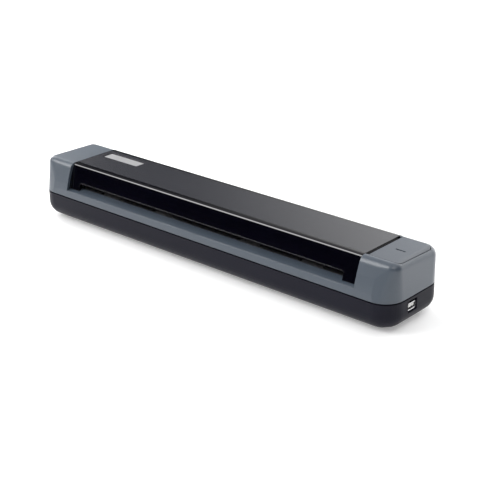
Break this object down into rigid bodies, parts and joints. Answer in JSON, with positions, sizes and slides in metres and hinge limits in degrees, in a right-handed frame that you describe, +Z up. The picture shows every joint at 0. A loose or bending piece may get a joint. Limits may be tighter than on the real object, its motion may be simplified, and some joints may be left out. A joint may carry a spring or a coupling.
{
  "type": "sheet fed document scanner",
  "caption": "Slim portable sheet fed document scanner with a wide front feed slot, glossy black cover, slate end caps, one scan button and a side USB socket.",
  "frame": {"origin": "centre of the footprint, on the surface that the feet stand on", "axes": "+X along the length towards the button and socket end, +Y from the feed side to the exit side, +Z up"},
  "size_m": [0.29, 0.051, 0.041],
  "materials": {
    "charcoal_plastic": "satin",
    "slate_plastic": "satin",
    "button_plastic": "satin",
    "gloss_black": "polished",
    "satin_dark": "satin",
    "plate_silver": "brushed",
    "foot_rubber": "matte",
    "black_screw": "blackened",
    "frame_steel": "zinc plated",
    "guide_black": "matte",
    "platen_white": "matte",
    "bush_nylon": "satin",
    "shaft_steel": "ground",
    "tyre_rubber": "ground",
    "gear_nylon": "satin",
    "pinion_brass": "machined",
    "motor_steel": "plated",
    "pinch_plastic": "matte",
    "spring_steel": "drawn wire",
    "sensor_glass": "clear",
    "lens_resin": "polished",
    "board_green": "solder mask",
    "chip_black": "matte",
    "ribbon_white": "satin",
    "socket_nickel": "nickel plated",
    "led_clear": "clear",
    "window_smoke": "polished"
  },
  "bodies": {
    "housing": {"lower_housing": "charcoal_plastic", "upper_housing": "slate_plastic", "top_cover": "gloss_black", "cover_inlay": "satin_dark", "name_plate": "plate_silver", "flag_sensor": "guide_black", "foot_front_left": "foot_rubber", "foot_front_right": "foot_rubber", "foot_rear_left": "foot_rubber", "foot_rear_right": "foot_rubber", "housing_screws": "black_screw", "left_side_frame": "frame_steel", "right_side_frame": "frame_steel", "lower_paper_guide": "guide_black", "upper_paper_guide": "guide_black", "white_platen": "platen_white", "frame_screws": "frame_steel", "feed_bushes": "bush_nylon", "gear_pins": "shaft_steel", "motor_can": "motor_steel", "motor_bracket": "frame_steel", "motor_cable": "guide_black", "front_pinch_springs": "spring_steel", "rear_pinch_springs": "spring_steel", "sensor_springs": "spring_steel", "sensor_ribbon": "ribbon_white", "main_board": "board_green", "board_chips": "chip_black", "board_screws": "frame_steel", "usb_socket_shell": "socket_nickel", "usb_socket_tongue": "pinch_plastic", "button_board": "board_green", "switch_body": "guide_black", "status_led": "led_clear"},
    "front_feed": {"front_feed_shaft": "shaft_steel", "front_feed_tyres": "tyre_rubber", "front_feed_gear": "gear_nylon", "front_shaft_clip": "black_screw"},
    "rear_feed": {"rear_feed_shaft": "shaft_steel", "rear_feed_tyres": "tyre_rubber", "rear_feed_gear": "gear_nylon", "rear_shaft_clip": "black_screw"},
    "idler": {"idler_gear": "gear_nylon"},
    "compound": {"compound_gear": "gear_nylon"},
    "motor_rotor": {"motor_pinion": "pinion_brass", "motor_shaft": "shaft_steel"},
    "front_pinch_carrier": {"front_pinch_blocks": "bush_nylon"},
    "front_pinch_roller": {"front_pinch_shaft": "shaft_steel", "front_pinch_rollers": "pinch_plastic"},
    "rear_pinch_carrier": {"rear_pinch_blocks": "bush_nylon"},
    "rear_pinch_roller": {"rear_pinch_shaft": "shaft_steel", "rear_pinch_rollers": "pinch_plastic"},
    "image_sensor": {"sensor_housing": "guide_black", "sensor_glass": "sensor_glass", "sensor_lens_array": "lens_resin", "sensor_board": "board_green"},
    "button": {"scan_button": "button_plastic", "button_window": "window_smoke"},
    "plunger": {"switch_plunger": "bush_nylon"},
    "flag": {"paper_flag": "guide_black"}
  },
  "joints": [
    {"name": "front_feed_spin", "type": "hinge", "parent": "housing", "child": "front_feed", "pos_m": [0, -0.013, 0.0204], "axis": [1, 0, 0], "continuous": true},
    {"name": "rear_feed_spin", "type": "hinge", "parent": "housing", "child": "rear_feed", "pos_m": [0, 0.013, 0.0204], "axis": [1, 0, 0], "continuous": true},
    {"name": "idler_spin", "type": "hinge", "parent": "housing", "child": "idler", "pos_m": [0, 0, 0.0204], "axis": [1, 0, 0], "continuous": true},
    {"name": "compound_spin", "type": "hinge", "parent": "housing", "child": "compound", "pos_m": [0, 0.005, 0.02906], "axis": [1, 0, 0], "continuous": true},
    {"name": "motor_spin", "type": "hinge", "parent": "housing", "child": "motor_rotor", "pos_m": [0, -0.00497, 0.02441], "axis": [1, 0, 0], "continuous": true},
    {"name": "front_pinch_lift", "type": "slide", "parent": "housing", "child": "front_pinch_carrier", "axis": [0, 0, 1], "range_m": [0, 0.001], "stiffness_N_per_m": 1500, "springref_m": -0.001, "deforming": ["front_pinch_springs"]},
    {"name": "rear_pinch_lift", "type": "slide", "parent": "housing", "child": "rear_pinch_carrier", "axis": [0, 0, 1], "range_m": [0, 0.001], "stiffness_N_per_m": 1500, "springref_m": -0.001, "deforming": ["rear_pinch_springs"]},
    {"name": "front_pinch_spin", "type": "hinge", "parent": "front_pinch_carrier", "child": "front_pinch_roller", "pos_m": [0, -0.013, 0.02905], "axis": [1, 0, 0], "continuous": true},
    {"name": "rear_pinch_spin", "type": "hinge", "parent": "rear_pinch_carrier", "child": "rear_pinch_roller", "pos_m": [0, 0.013, 0.02905], "axis": [1, 0, 0], "continuous": true},
    {"name": "image_sensor_float", "type": "slide", "parent": "housing", "child": "image_sensor", "axis": [0, 0, 1], "range_m": [-0.001, 0], "stiffness_N_per_m": 1500, "springref_m": 0.0015, "deforming": ["sensor_springs", "sensor_ribbon"]},
    {"name": "button_press", "type": "slide", "parent": "housing", "child": "button", "axis": [0, 0, 1], "range_m": [-0.0005, 0], "stiffness_N_per_m": 1500, "springref_m": 0.0004},
    {"name": "plunger_press", "type": "slide", "parent": "housing", "child": "plunger", "axis": [0, 0, 1], "range_m": [-0.0005, 0]},
    {"name": "flag_swing", "type": "hinge", "parent": "housing", "child": "flag", "pos_m": [0, -0.0092, 0.031], "axis": [1, 0, 0], "range_deg": [0, 40]}
  ],
  "couplings": [
    {"joint": "rear_feed_spin", "follows": "front_feed_spin", "ratio": 1},
    {"joint": "idler_spin", "follows": "front_feed_spin", "ratio": -1},
    {"joint": "compound_spin", "follows": "front_feed_spin", "ratio": 1.8571},
    {"joint": "motor_spin", "follows": "front_feed_spin", "ratio": -3.9796},
    {"joint": "front_pinch_spin", "follows": "front_feed_spin", "ratio": -1.4286},
    {"joint": "rear_pinch_spin", "follows": "front_feed_spin", "ratio": -1.4286},
    {"joint": "plunger_press", "follows": "button_press", "ratio": 1}
  ]
}
